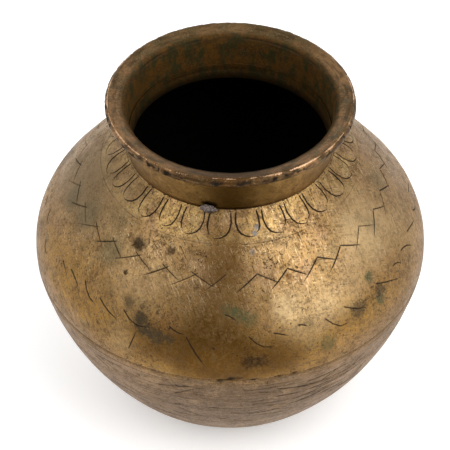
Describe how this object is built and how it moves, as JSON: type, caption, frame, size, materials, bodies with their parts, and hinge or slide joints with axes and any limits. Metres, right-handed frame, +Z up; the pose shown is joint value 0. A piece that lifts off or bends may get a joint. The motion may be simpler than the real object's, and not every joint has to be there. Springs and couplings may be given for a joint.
{
  "type": "globular water pot",
  "caption": "Globular sheet-brass water pot with a flat base, brazed belly seam, short neck collar and thick rolled lip.",
  "frame": {"origin": "centre of the flat base, on the surface the pot stands on", "axes": "+Z up along the pot's axis of revolution; -Y is the front, the side with the solder repair just left of centre; +X is to the right seen from the front"},
  "size_m": [0.23, 0.23, 0.2093],
  "materials": {
    "lower_bowl": "worn, turning scratches, dull grey-pink bloom",
    "shoulder_shell": "aged golden brown, rubbed and scratched, hand-engraved",
    "neck_collar": "dark brown patina, coppery rubbed lip",
    "lip_core_wire": "plain drawn wire",
    "belly_braze_seam": "dressed flush, slightly pitted",
    "neck_braze_seam": "rough fillet, tarnished",
    "neck_solder_lump": "dull grey soft-solder repair on the brass"
  },
  "bodies": {
    "root": {"lower_bowl": "lower_bowl", "shoulder_shell": "shoulder_shell", "neck_collar": "neck_collar", "lip_core_wire": "lip_core_wire", "belly_braze_seam": "belly_braze_seam", "neck_braze_seam": "neck_braze_seam", "neck_solder_lump": "neck_solder_lump"}
  },
  "joints": []
}
